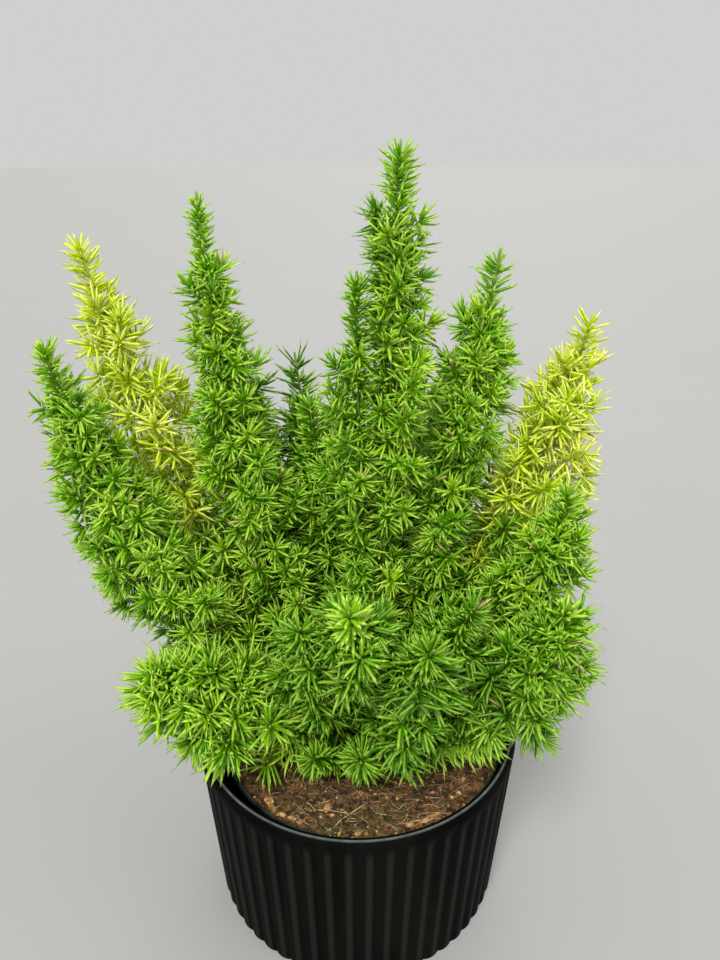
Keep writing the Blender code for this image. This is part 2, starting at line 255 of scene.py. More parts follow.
def add_piece(
    name, points, faces, finishes, face_finish=None, replaces=None, smooth=True
):
    """One mesh from points, (quads, triangles) and each face's finish number.

    It rides on the body and, where one is given, takes a CAD node's place."""
    quads, triangles = faces
    mesh = bpy.data.meshes.new(name)
    mesh.vertices.add(len(points))
    mesh.vertices.foreach_set("co", np.ascontiguousarray(points, np.float32).ravel())
    corners = np.concatenate([quads.ravel(), triangles.ravel()]).astype(np.int32)
    mesh.loops.add(len(corners))
    mesh.loops.foreach_set("vertex_index", corners)
    starts = np.concatenate([[0], np.cumsum([4] * len(quads) + [3] * len(triangles))[:-1]])
    mesh.polygons.add(len(starts))
    mesh.polygons.foreach_set("loop_start", starts.astype(np.int32))
    for finish in finishes:
        mesh.materials.append(finish)
    if face_finish is not None:
        mesh.polygons.foreach_set("material_index", face_finish.astype(np.int32))
    mesh.update(calc_edges=True)
    if smooth:
        mesh.shade_smooth()
    else:
        mesh.shade_flat()
    piece = bpy.data.objects.new(name, mesh)
    bpy.context.scene.collection.objects.link(piece)
    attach(piece, "root")
    if replaces:
        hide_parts(replaces)
    return piece


def turned_points(radius, height, centre=(0, 0)):
    """Points of a turned shape: radius and height by row and, where they vary round it, by
    column. Each point is the centre plus the radius along its column's angle."""
    columns = radius.shape[1]
    angle = np.arange(columns) * math.tau / columns
    x, y = centre[0] + radius * np.cos(angle), centre[1] + radius * np.sin(angle)
    grid = np.stack([x, y, np.broadcast_to(height, radius.shape)], -1).reshape(-1, 3)
    ends = [(*centre, np.mean(height[0])), (*centre, np.mean(height[-1]))]
    return np.concatenate([grid, ends])


def profile(*stretches):
    """Rows of a turned shape: each stretch is (radii, heights) of equal length, end to end."""
    radius = np.concatenate([np.asarray(r, float) for r, _ in stretches])
    height = np.concatenate([np.asarray(z, float) for _, z in stretches])
    return radius[:, None], height[:, None]


quarter = np.linspace(0, math.pi / 2, 10)
foot_roll = quarter[3::3]
wall = np.linspace(0, 1, 26)[1:]
shoulder = quarter[1:-1]
shoulder_height = PLANTER_HEIGHT - SHOULDER_DROP
inner_foot = PLANTER_FOOT - FLUTE_DEPTH - PLANTER_WALL
outer_radius, outer_height = profile(
    ([UNDERSIDE_CENTRE, PLANTER_FOOT - 0.0045, PLANTER_FOOT - 0.0012],
     [PLANTER_RECESS, PLANTER_RECESS, 0.0]),
    (PLANTER_FOOT - 0.0004 + 0.0004 * np.sin(foot_roll),
     PLANTER_FOOT_ROLL * (1 - np.cos(foot_roll))),
    (PLANTER_FOOT + (PLANTER_SHOULDER - PLANTER_FOOT) * wall,
     PLANTER_FOOT_ROLL + (shoulder_height - PLANTER_FOOT_ROLL) * wall),
    (PLANTER_RIM + (PLANTER_SHOULDER - PLANTER_RIM) * np.cos(shoulder),
     shoulder_height + (SHOULDER_DROP - 0.0001) * np.sin(shoulder)),
)
inner_radius, inner_height = profile(
    ([PLANTER_RIM, PLANTER_RIM - 0.0006, PLANTER_MOUTH + 0.0005, PLANTER_MOUTH + 0.0001],
     [PLANTER_HEIGHT - 0.00005, PLANTER_HEIGHT, PLANTER_HEIGHT, PLANTER_HEIGHT - 0.0002]),
    ([PLANTER_MOUTH, PLANTER_MOUTH - 0.0003, inner_foot, inner_foot - 0.002, UNDERSIDE_CENTRE],
     [PLANTER_HEIGHT - 0.0006, PLANTER_HEIGHT - 0.006, 0.0045, PLANTER_FLOOR, PLANTER_FLOOR]),
)
# Flutes are round ribs: their depth grows as the square of the distance from the crest, and
# fades under the rim by a smoothstep. The first crest is half a flute round from the side, so
# that a hollow faces the front.
across = np.abs(np.arange(PLANTER_COLUMNS) * FLUTES / PLANTER_COLUMNS % 1 - 0.5) * 2
fade_heights = fade_from, fade_to = [PLANTER_HEIGHT - drop for drop in FLUTE_FADE]
share = np.clip((fade_to - outer_height) / (fade_to - fade_from), 0, 1)
share = share * (outer_radius > UNDERSIDE_CENTRE)
groove = FLUTE_DEPTH * share * share * (3 - 2 * share)
planter_radius = np.concatenate([
    outer_radius - groove * across**2, np.repeat(inner_radius, PLANTER_COLUMNS, 1),
])
planter_height = np.concatenate([outer_height, inner_height])
planter_points = turned_points(planter_radius, planter_height)

planter_finish, place = begin_finish("planter_plastic")
grain = place.noise(1600, 2)
mottle = place.noise(35, 4, 0.6, (1, 1, 0.25))
speck = place.node("TexVoronoi", {}, {"Vector": place, "Scale": 210}).rise(0.055, 0.03)
dusty = place.noise(60, 2).rise(0.57, 0.66)
up = place.along("Z")
level = place.node("Mapping", {}, {"Vector": place, "Scale": (1, 1, 0)})
out = level.node("VectorMath", {"operation": "LENGTH"}, {0: level}, "Value")
# The grey line along the rim's top edge is partly rubbed wear and partly a painted highlight,
# broken up by noise.
rim_wear_and_highlight_breaks = place.noise(160, 4) * 1.3 + 0.1
rim_wear_and_highlight = up.rise(*RIM_WEAR_AND_HIGHLIGHT_HEIGHT) * out.rise(*RIM_WEAR_AND_HIGHLIGHT_RADIUS) * rim_wear_and_highlight_breaks
# Painted highlight: a paler band beside each flute's crest, fading out under the rim, over the
# plastic's own mottle.
turned = place.along("Y").maths("ARCTAN2", place.along("X")) * FLUTES
crest_highlight = (turned + CREST_HIGHLIGHT_PHASE).maths("COSINE").rise(0.1, 1.0) * (1 - up.rise(*fade_heights))
mottle_and_crest_highlight = (mottle.rise(0.35, 0.7) * 0.25 + crest_highlight * 0.75).blend(shade(4, 5, 4), shade(33, 36, 31))
dusted = (speck * dusty).blend(mottle_and_crest_highlight, shade(120, 118, 108))
end_finish(
    planter_finish, place, rim_wear_and_highlight.blend(dusted, shade(112, 118, 114)),
    mottle * 0.16 + 0.55 + speck * dusty * 0.3, grain + mottle * 0.5, 0.00006, 0.03,
)
add_piece(
    "fluted_planter", planter_points, tube_faces(1, len(planter_height), PLANTER_COLUMNS),
    [planter_finish], replaces="planter",
)


# Nursery pot.
# The thin grower's pot that is dropped into the planter: blown black plastic with a stepped
# lip, pushed against the front right of the mouth.
POT_CENTRE = (0.0032, -0.0043)
POT_RIM = 0.0785
POT_FOOT = 0.0600
POT_WALL = 0.0010
POT_LOW = 0.0028
POT_TOP = PLANTER_HEIGHT - 0.005
POT_FLOOR = POT_LOW + 2 * POT_WALL
POT_MIDDLE = 0.02
LIP_HEIGHT = 0.006
LIP_STEP = 0.0016
LIP_FOOT = 0.0004
POT_COLUMNS = 240


def pot_inside(height):
    """Radius of the inner wall at a height: an even taper between foot and rim."""
    share = (height - POT_LOW) / (POT_TOP - POT_LOW)
    return POT_FOOT + (POT_RIM - LIP_STEP - POT_FOOT) * share - POT_WALL


lip = POT_TOP - LIP_HEIGHT
rise = np.linspace(POT_LOW + 0.002, lip, 12)
roll = np.linspace(0, math.pi, 9)
lip_inside = POT_RIM - POT_WALL
lip_foot = lip + LIP_FOOT
lip_middle, lip_half = (POT_RIM + lip_inside) / 2, POT_WALL / 2
fall = np.linspace(lip_foot, POT_FLOOR, 8)
radius, height = profile(
    ([POT_MIDDLE, POT_FOOT - 0.002, POT_FOOT - 0.0005], [POT_LOW, POT_LOW, POT_LOW + 0.0004]),
    (pot_inside(rise) + POT_WALL, rise),
    ([POT_RIM - 0.0003, POT_RIM, POT_RIM], [lip + 0.0012, lip + LIP_STEP, POT_TOP - POT_WALL]),
    (lip_middle + lip_half * np.cos(roll), POT_TOP - lip_half + lip_half * np.sin(roll)),
    ([lip_inside, lip_inside - 0.0003], [lip_foot + LIP_STEP + 0.0003, lip_foot + LIP_STEP]),
    (pot_inside(fall), fall),
    ([POT_MIDDLE], [POT_FLOOR]),
)
# The lip is slightly out of round and wavy, as thin plastic is: 3 and 11 waves round it, all
# inside the rim's own radius.
angle = np.arange(POT_COLUMNS) * math.tau / POT_COLUMNS
wave = 0.0003 * np.sin(3 * angle + 1) + 0.00015 * np.sin(11 * angle) - 0.00045
pot_radius = radius + wave * (height > lip)

pot_finish, place = begin_finish("nursery_plastic")
grain = place.noise(900, 3)
dusty_lip = place.along("Z").rise(0.094, POT_TOP) * 0.3
dust = (place.noise(90, 4, 0.65) * 0.8 + dusty_lip).rise(0.45, 0.9)
end_finish(
    pot_finish, place, dust.blend(shade(17, 21, 20), shade(66, 74, 70)),
    dust * 0.25 + 0.45, grain, 0.00008, 0.12,
)
add_piece(
    "grower_pot", turned_points(pot_radius, height, POT_CENTRE),
    tube_faces(1, len(height), POT_COLUMNS), [pot_finish],
    replaces="nursery_pot",
)


# Potting mix.
# Coir and bark fines, watered down to a crumbly crust that rises to the lip, highest at the
# front right, with moss in the middle of the front.
SOIL_TOP = 0.0945
SOIL_DROP = 0.0004
SOIL_EDGE_RISE = 0.0025
SOIL_EDGE_START = 0.050
SOIL_EDGE_WIDTH = 0.025
# A mound at the front right and a dip at the left: height, centre and half widths.
SWELLS = (
    (0.0010, (0.045, -0.045), (0.03, 0.03)), (-0.0012, (-0.055, -0.02), (0.025, 0.03)),
)
# Lumps of four sizes: lattice size and height.
LUMPS = ((0.021, 0.0010), (0.0075, 0.0008), (0.0032, 0.0006), (0.0014, 0.0004))
SOIL_COLUMNS = 560
SOIL_ROWS = 92
# Patches of moss: place, radius and strength.
MOSS = (
    (0.000, -0.072, 0.020, 1.0), (0.018, -0.062, 0.013, 0.7), (-0.034, -0.055, 0.011, 0.7),
    (-0.016, -0.070, 0.013, 0.8),
)


def lattice(x, y, size, chance):
    """Smooth random height from -1 to 1: random values on a square lattice of that size,
    blended between its corners by a smoothstep."""
    u, v = (x + 0.2) / size, (y + 0.2) / size
    i, j = np.floor(u).astype(int), np.floor(v).astype(int)
    s, t = (f * f * (3 - 2 * f) for f in (u - i, v - j))
    value = chance.uniform(-1, 1, (int(0.4 / size) + 3,) * 2)
    low = value[i, j] * (1 - s) + value[i + 1, j] * s
    return low * (1 - t) + (value[i, j + 1] * (1 - s) + value[i + 1, j + 1] * s) * t


def soil_height(x, y):
    """Height of the crust: a smoothstep up to the lip, a swell whose height falls off as the
    bell curve of the distance from its centre, a dip alike, and lumps of four sizes."""
    chance = np.random.default_rng(11)
    x, y = np.asarray(x), np.asarray(y)
    edge = np.hypot(x - POT_CENTRE[0], y - POT_CENTRE[1])
    edge = np.clip((edge - SOIL_EDGE_START) / SOIL_EDGE_WIDTH, 0, 1)
    edge = SOIL_EDGE_RISE * edge * edge * (3 - 2 * edge)
    swells = sum(
        depth * np.exp(-(((x - u) / wide) ** 2) - ((y - v) / deep) ** 2)
        for depth, (u, v), (wide, deep) in SWELLS
    )
    lumps = sum(depth * lattice(x, y, size, chance) for size, depth in LUMPS)
    return SOIL_TOP - SOIL_DROP + edge + swells + lumps


soil_edge = lip_inside - 0.0002
soil_low = POT_FLOOR + 0.0003
inward = np.linspace(soil_edge, 0.0004, SOIL_ROWS)
radius, height = profile(
    ([POT_MIDDLE, pot_inside(soil_low) - 0.0006], [soil_low, soil_low]),
    ([pot_inside(lip_foot) - 0.0003], [lip_foot]), (inward, 0 * inward),
)
radius = np.repeat(radius, SOIL_COLUMNS, 1)
angle = np.arange(SOIL_COLUMNS) * math.tau / SOIL_COLUMNS
x = POT_CENTRE[0] + radius[3:] * np.cos(angle)
y = POT_CENTRE[1] + radius[3:] * np.sin(angle)
height = np.concatenate([np.repeat(height[:3], SOIL_COLUMNS, 1), soil_height(x, y)])

# Brown coir, flecked with tan fibres, and olive where moss grows.
soil_finish, place = begin_finish("potting_mix")
coarse, fine = place.noise(240, 4, 0.65), place.noise(1100, 3, 0.7)
brown = coarse.rise(0.35, 0.68).blend(shade(38, 27, 12), shade(132, 90, 46))
flecked = fine.rise(0.56, 0.70).blend(brown, shade(186, 150, 98))
green = 0
for u, v, size, strength in MOSS:
    away = place.node(
        "VectorMath", {"operation": "DISTANCE"}, {0: place, 1: (u, v, SOIL_TOP)}, "Value"
    )
    green = away.rise(size, size * 0.3) * strength + green
moss = green.maths("MINIMUM", 1.0) * place.noise(420, 4).rise(0.38, 0.56) * 0.8
end_finish(
    soil_finish, place, moss.blend(flecked, shade(66, 74, 30)),
    fine * 0.2 + 0.8, coarse * 0.6 + fine, 0.0006,
)
add_piece(
    "potting_mix_crust", turned_points(radius, height, POT_CENTRE),
    tube_faces(1, len(height), SOIL_COLUMNS), [soil_finish],
    replaces="soil",
)


# Crumbs and bark.
# Loose bits on the crust: dark crumbs, tan flakes, and orange-brown bark along the front of
# the lip. Each is a small lump with five uneven corners round it, a quarter sunk in the mix.
BITS = (
    # finish, count, least and greatest size, flatness
    ("dark", 1100, 0.0007, 0.0026, 0.8), ("brown", 1500, 0.0006, 0.0024, 0.7),
    ("tan", 700, 0.0004, 0.0017, 0.5), ("olive", 260, 0.0006, 0.0016, 0.7),
)
BIT_COLOURS = {
    "dark": (shade(26, 18, 10), shade(66, 46, 28)),
    "brown": (shade(88, 60, 32), shade(146, 106, 62)),
    "tan": (shade(172, 134, 78), shade(236, 204, 142)),
    "olive": (shade(64, 70, 26), shade(116, 114, 48)),
    "bark": (shade(128, 78, 38), shade(238, 190, 122)),
}
# Larger bark pieces: place on the mix, length, width and height in millimetres, and turn in
# degrees.
BARK = (
    (-45.084, -55.072, 8.075, 5.1, 3.06, 120), (-42.33, -59.356, 5.1, 3.06, 1.87, 140),
    (-37.74, -62.7, 4.675, 2.55, 1.36, 150), (-32.64, -65.417, 5.525, 2.21, 1.36, 160),
    (-27.54, -68.343, 4.25, 2.21, 1.275, 20), (-48.552, -47.025, 5.525, 1.87, 3.91, 95),
    (-15.096, -58.311, 6.12, 4.25, 2.38, 60), (-12.75, -63.222, 3.91, 2.21, 1.36, 15),
    (-8.364, -76.285, 2.89, 2.21, 1.53, 70), (0.51, -75.136, 3.74, 2.21, 1.53, 30),
    (4.59, -75.867, 2.55, 1.87, 1.275, 0), (25.806, -70.642, 5.1, 2.55, 1.53, 20),
    (31.62, -69.597, 7.225, 2.89, 1.87, 14), (38.76, -66.462, 6.8, 2.55, 1.7, 28),
    (46.104, -62.909, 4.675, 2.21, 1.36, 40), (55.59, -41.382, 3.57, 2.55, 1.53, 75),
    (38.658, -49.637, 3.06, 2.04, 1.19, 10), (62.22, -35.53, 3.4, 1.7, 1.02, 60),
    (20.4, -52.25, 2.55, 1.7, 1.02, 100), (-53.04, 31.35, 6.8, 3.4, 2.04, 30),
    (10.2, 64.79, 5.95, 3.4, 1.87, 80), (51.0, 41.8, 5.1, 3.06, 1.7, 10),
)
BIT_SIDES = 5

bit_finishes = []
for name, (deep, light) in BIT_COLOURS.items():
    finish, place = begin_finish(name + "_crumb")
    grain = place.noise(700, 4, 0.7)
    end_finish(
        finish, place, place.noise(260, 3, 0.6).rise(0.3, 0.7).blend(deep, light),
        grain * 0.2 + 0.75, grain, 0.0003,
    )
    bit_finishes.append(finish)

chance = np.random.default_rng(23)
kinds = np.concatenate([np.full(row[1], k) for k, row in enumerate(BITS)])
low, high, flatness = np.array([row[2:] for row in BITS])[kinds].T
breadth = low + (high - low) * chance.random(len(kinds)) ** 2.5
away = (soil_edge - 0.0015) * np.sqrt(chance.random(len(kinds)))
angle = chance.uniform(0, math.tau, len(kinds))
size = np.stack([
    breadth * chance.uniform(1.0, 1.8, len(kinds)), breadth,
    breadth * flatness * chance.uniform(0.6, 1.0, len(kinds)),
], 1)
spot = np.stack([POT_CENTRE[0] + away * np.cos(angle), POT_CENTRE[1] + away * np.sin(angle)], 1)
heading = chance.uniform(0, math.tau, len(kinds))
bark = np.array(BARK)
spot = np.concatenate([spot, bark[:, :2] * 0.001])
size = np.concatenate([size, bark[:, 2:5] * 0.001])
heading = np.concatenate([heading, np.radians(bark[:, 5])])
kinds = np.concatenate([kinds, np.full(len(bark), len(BITS))])
count = len(kinds)
turn = np.arange(BIT_SIDES) * math.tau / BIT_SIDES
wobble = chance.uniform(0.7, 1.15, (count, 2, BIT_SIDES))
lean = chance.normal(0, 0.18, (count, 2, 1))
ring_x = (np.cos(turn) * wobble + lean) * size[:, 0, None, None] / 2
ring_y = (np.sin(turn) * wobble + lean[:, ::-1]) * size[:, 1, None, None] / 2
ring_z = np.array([-0.35, 0.35])[:, None] + chance.normal(0, 0.1, (count, 2, BIT_SIDES))
ring_z = ring_z * size[:, 2, None, None]
ends = np.zeros((count, 2, 3))
ends[:, :, 2] = np.array([-0.5, 0.55]) * size[:, 2, None]
local = np.concatenate([np.stack([ring_x, ring_y, ring_z], -1).reshape(count, -1, 3), ends], 1)
cos, sin = np.cos(heading)[:, None], np.sin(heading)[:, None]
ground = soil_height(spot[:, 0], spot[:, 1]) + size[:, 2] * 0.25
points = np.stack([
    spot[:, :1] + local[:, :, 0] * cos - local[:, :, 1] * sin,
    spot[:, 1:] + local[:, :, 0] * sin + local[:, :, 1] * cos,
    ground[:, None] + local[:, :, 2],
], -1)
quads, triangles = tube_faces(count, 2, BIT_SIDES)
finish = np.concatenate([np.repeat(kinds, BIT_SIDES), np.repeat(kinds, 2 * BIT_SIDES)])
add_piece(
    "crumbs_and_bark", points.reshape(-1, 3), (quads, triangles), bit_finishes, finish,
    smooth=False,
)


# Coir fibres.
# Fine curved strands, pale tan to red-brown, lying every way on the crust, and a few stiff
# straws, the longest across the front. Each is a thin three-sided tube along a parabola.
FIBRES = 1500
FIBRE_ROWS = 6
STRAWS = (
    # from, to, radius in millimetres
    ((-11.3, -70.2), (5.4, -55.6), 0.42), ((-20.5, -59.4), (-3.5, -62.0), 0.22),
    ((-26.0, -54.0), (-17.0, -65.0), 0.2), ((22.0, -70.4), (41.0, -67.6), 0.34),
    ((27.0, -72.4), (44.0, -62.5), 0.26), ((30.0, -65.0), (46.0, -64.4), 0.22),
    ((-45.0, -52.0), (-46.4, -40.0), 0.5), ((12.0, -38.0), (24.0, -45.0), 0.22),
    ((-60.0, 8.0), (-48.0, 22.0), 0.3), ((18.0, 53.0), (34.0, 47.0), 0.3),
)

fibre_finishes = []
for name, deep, light in (
    ("pale", shade(168, 136, 92), shade(222, 196, 150)),
    ("brown", shade(84, 52, 30), shade(146, 98, 58)),
):
    finish, place = begin_finish(name + "_fibre")
    streak = place.noise(380, 3)
    end_finish(finish, place, streak.rise(0.3, 0.7).blend(deep, light), streak * 0.2 + 0.6)
    fibre_finishes.append(finish)


def unit(vectors):
    """Vectors of length one."""
    return vectors / np.maximum(np.linalg.norm(vectors, axis=-1, keepdims=True), 1e-12)


chance = np.random.default_rng(29)
away = (soil_edge - 0.006) * np.sqrt(chance.random(FIBRES))
angle = chance.uniform(0, math.tau, FIBRES)
middle = np.stack([POT_CENTRE[0] + away * np.cos(angle), POT_CENTRE[1] + away * np.sin(angle)], 1)
heading = chance.uniform(0, math.tau, FIBRES)
half = chance.uniform(0.0015, 0.0055, FIBRES)
bow = half * chance.normal(0, 0.35, FIBRES)
thick = chance.uniform(0.00008, 0.0002, FIBRES)
straw = np.array([(*a, *b, r) for a, b, r in STRAWS]) * 0.001
gap = straw[:, 2:4] - straw[:, :2]
middle = np.concatenate([middle, (straw[:, :2] + straw[:, 2:4]) / 2])
heading = np.concatenate([heading, np.arctan2(gap[:, 1], gap[:, 0])])
half = np.concatenate([half, np.linalg.norm(gap, axis=1) / 2])
bow = np.concatenate([bow, half[FIBRES:] * 0.06])
thick = np.concatenate([thick, straw[:, 4]])
pale = np.concatenate([chance.random(FIBRES) < 0.42, np.ones(len(straw), bool)])
count = len(thick)
share = np.linspace(-1, 1, FIBRE_ROWS)
cos, sin = np.cos(heading)[:, None], np.sin(heading)[:, None]
x = middle[:, :1] + half[:, None] * share * cos - bow[:, None] * (1 - share**2) * sin
y = middle[:, 1:] + half[:, None] * share * sin + bow[:, None] * (1 - share**2) * cos
rest = soil_height(x, y)
z = 0.5 * rest + 0.5 * rest.mean(1, keepdims=True) + thick[:, None] * 1.2 + 0.0003
line = np.stack([x, y, z], -1)
way = unit(np.gradient(line, axis=1))
side = unit(np.cross(way, (0, 0, 1)))
over = np.cross(side, way)
turn = np.arange(3) * math.tau / 3
arm = np.cos(turn)[:, None] * side[:, :, None] + np.sin(turn)[:, None] * over[:, :, None]
taper = (1 - 0.6 * share**4) * thick[:, None]
rings = line[:, :, None] + arm * taper[:, :, None, None]
ends = line[:, [0, -1]] + way[:, [0, -1]] * np.array([-1, 1])[:, None] * thick[:, None, None]
points = np.concatenate([rings.reshape(count, -1, 3), ends], 1)
quads, triangles = tube_faces(count, FIBRE_ROWS, 3)
finish = np.concatenate([np.repeat(~pale, 3 * (FIBRE_ROWS - 1)), np.repeat(~pale, 6)])
add_piece(
    "coir_fibres", points.reshape(-1, 3), (quads, triangles), fibre_finishes, finish,
)


# Fronds.
# Every frond is one green shoot of this year or last, woody only at its foot. Its line is
# read from its stem in the frame, and its outline from its plume.
STEM_FOOT_RADIUS = 0.0015
STEM_TIP_RADIUS = 0.0006
FROND_STEPS = 240
# Corners this close to the stem's foot lie in its lowest ring, and rings are further apart
# than this along the stem.
FOOT_RING = 0.0001
RING_GAP = 0.007


def corners_of(node):
    """Each separate corner of a CAD node."""
    mesh = frame["nodes"][node].data
    corners = np.empty(len(mesh.vertices) * 3, np.float32)
    mesh.vertices.foreach_get("co", corners)
    return np.unique(corners.reshape(-1, 3).round(6), axis=0).astype(float)


class Frond:
    """The curved line of one frond, read from the frame.

    The rings of the stem's corners give points on its centre. A polynomial of fourth degree
    at most, in the distance along the chord from foot to tip, is fitted through them and
    divided into equal steps."""

    def __init__(self, name):
        self.name = name
        stem, plume = corners_of("stem_" + name), corners_of("plume_" + name)
        low = stem[stem[:, 2] < stem[:, 2].min() + FOOT_RING].mean(0)
        tip = plume[np.argmax(np.linalg.norm(plume - low, axis=1))]
        chord = tip - low
        away = (stem - low) @ unit(chord)
        order = np.argsort(away)
        rings = np.split(stem[order], np.flatnonzero(np.diff(away[order]) > RING_GAP) + 1)
        points = np.array([ring.mean(0) for ring in rings] + [tip])
        share = (points - low) @ chord / (chord @ chord)
        fit = np.polyfit(share, points, min(4, len(points) - 1))
        fine = np.linspace(0, 1, 600)
        line = np.stack([np.polyval(fit[:, axis], fine) for axis in range(3)], -1)
        run = np.concatenate([[0], np.cumsum(np.linalg.norm(np.diff(line, axis=0), axis=1))])
        self.length = run[-1]
        self.run = np.linspace(0, self.length, FROND_STEPS)
        self.line = np.stack([np.interp(self.run, run, line[:, axis]) for axis in range(3)], -1)
        self.way = unit(np.gradient(self.line, axis=0))
        self.across = unit(np.cross((0, 0, 1), chord))
        self.upper = np.cross(self.way, self.across)
        mesh = frame["nodes"]["plume_" + name].data
        corners = [v.co.copy() for v in mesh.vertices]
        self.outline = BVHTree.FromPolygons(corners, [p.vertices[:] for p in mesh.polygons])

    def at(self, distance):
        """Centre, direction and upper side at distances along the frond from the soil."""
        found = [
            np.stack([np.interp(distance, self.run, part[:, axis]) for axis in range(3)], -1)
            for part in (self.line, self.way, self.upper)
        ]
        return found[0], unit(found[1]), unit(found[2])

    def radius(self, distance):
        """The stem tapers evenly from soil to tip."""
        return STEM_FOOT_RADIUS + (STEM_TIP_RADIUS - STEM_FOOT_RADIUS) * distance / self.length

    def reach(self, start, way):
        """How far off the plume's outline is from each start along its way, or 0 for a miss."""
        hits = [self.outline.ray_cast(Vector(a), Vector(b)) for a, b in zip(start, way)]
        return np.array([hit[3] or 0.0 for hit in hits])


names = sorted(node[5:] for node in frame["nodes"] if node.startswith("stem_"))
slots = {row["node"]: row.get("material_slot") for row in frame["record"].get("subparts", [])}
fronds = [Frond(name) for name in names]


# Frond stems.
# Thin, stiff and ridged lengthwise, with a small swelling under each scale leaf. Green above
# and browner towards the soil. Ridges and swellings are shares of the stem's radius: a cosine
# round it that twists as it climbs, and a bell curve along it.
STEM_SIDES = 12
STEM_ROW_STEP = 0.0022
STEM_RIDGES = 5
RIDGE_HEIGHT = 0.07
RIDGE_TWIST = 14
SCALE_SPACING = 0.0066
SCALE_HEIGHT = 0.16
SCALE_LENGTH = 0.0007
SCALE_TWIST = 950
STEM_SUNK = 0.004

stem_finishes = {}
for tint, foot, top in (
    ("green", shade(104, 92, 48), shade(122, 168, 50)),
    ("lime", shade(130, 122, 54), shade(196, 208, 70)),
):
    stem_finish, place = begin_finish(tint + "_stem")
    fibre = place.noise(900, 3, 0.6, (1, 1, 0.12))
    patch = place.noise(160, 3)
    aged = place.along("Z") + patch * 0.05
    green = aged.rise(0.115, 0.165).blend(foot, top)
    end_finish(
        stem_finish, place, (fibre * patch).rise(0.18, 0.42).blend(green, shade(146, 148, 82)),
        patch * 0.2 + 0.38, fibre, 0.00012,
    )
    stem_finishes[tint] = stem_finish


def frond_tint(name):
    """Which of the two leaf colours the record gives this frond."""
    return "lime" if "lime" in (slots.get("plume_" + name) or name) else "green"


for number, frond in enumerate(fronds):
    rows = int(frond.length / STEM_ROW_STEP)
    run = np.linspace(0, frond.length - 0.001, rows)
    centre, way, upper = frond.at(run)
    centre = centre - np.array([0, 0, STEM_SUNK]) * np.exp(-run / 0.002)[:, None]
    turn = np.arange(STEM_SIDES) * math.tau / STEM_SIDES
    ridges = RIDGE_HEIGHT * np.cos(STEM_RIDGES * (turn + run[:, None] * RIDGE_TWIST))
    scale = np.abs((run / SCALE_SPACING + number * 0.37 + 0.5) % 1 - 0.5) * SCALE_SPACING
    swell = SCALE_HEIGHT * np.exp(-((scale / SCALE_LENGTH) ** 2))[:, None]
    swell = swell * (0.6 + 0.4 * np.cos(turn - run[:, None] * SCALE_TWIST))
    radius = frond.radius(run)[:, None] * (1 + ridges + swell)
    arm = np.cos(turn)[:, None] * frond.across + np.sin(turn)[:, None] * upper[:, None]
    points = (centre[:, None] + arm * radius[:, :, None]).reshape(-1, 3)
    points = np.concatenate([points, centre[:1], frond.line[-1:]])
    add_piece(
        "main_stem_" + frond.name, points, tube_faces(1, rows, STEM_SIDES),
        [stem_finishes[frond_tint(frond.name)]], replaces="stem_" + frond.name,
    )


# Side shoots.
# Short wiry shoots leave the stem all round it on a golden-angle spiral, wide apart in the
# open lime fronds, and curve up towards the tip. Most stop short of the plume's outline, so
# that their last needles reach it.
GOLDEN = math.pi * (3 - math.sqrt(5))
# Area of the plume's surface for each shoot.
SHOOT_AREA = {"green": 0.000150, "lime": 0.000260}
# Stem without side shoots, at its foot and at its tip.
FOOT_CLEAR = 0.013
SHOOT_TOP_GAP = 0.010
# No shoots in this last stretch where the plume's radius is less than this: the needles
# stand on the stem itself there.
BARE_TIP = 0.036
NARROW = 0.0125
# How finely the plume's width is measured, along the stem and round it, and from where.
WIDTH_STEP = 0.002
WIDTH_RAYS = 12
RAY_START = 0.0024
# A shoot's reach is measured from this far off the stem's middle, and this is added to it.
SHOOT_START = 0.0026
START_REACH = 0.0022
# Degrees from the stem: at its foot, less higher up, and a little less at the tip.
SHOOT_LEAN, LEAN_LOSS, TIP_LEAN_LOSS, LEAN_SPREAD = 86, 28, 8, 12
LEAN_RISE = 0.035
TIP_LENGTH = 0.09
SHOOT_CURVE = math.radians(18)
SHOOT_STOP = 0.0045
LEAST_REACH = 0.0034
LEAST_SHOOT = 0.0032
SHOOT_RADIUS = 0.00042
SHOOT_TAPER = 0.55
SHOOT_ROWS = 4
SHOOT_SIDES = 4

shoot_finishes = {}
for tint, colour, pale in (
    ("green", shade(104, 156, 34), shade(150, 190, 66)),
    ("lime", shade(186, 210, 56), shade(216, 228, 100)),
):
    shoot_finish, place = begin_finish(tint + "_side_shoot")
    streak = place.noise(500, 3)
    end_finish(shoot_finish, place, streak.rise(0.3, 0.7).blend(colour, pale), streak * 0.2 + 0.4)
    shoot_finishes[tint] = shoot_finish


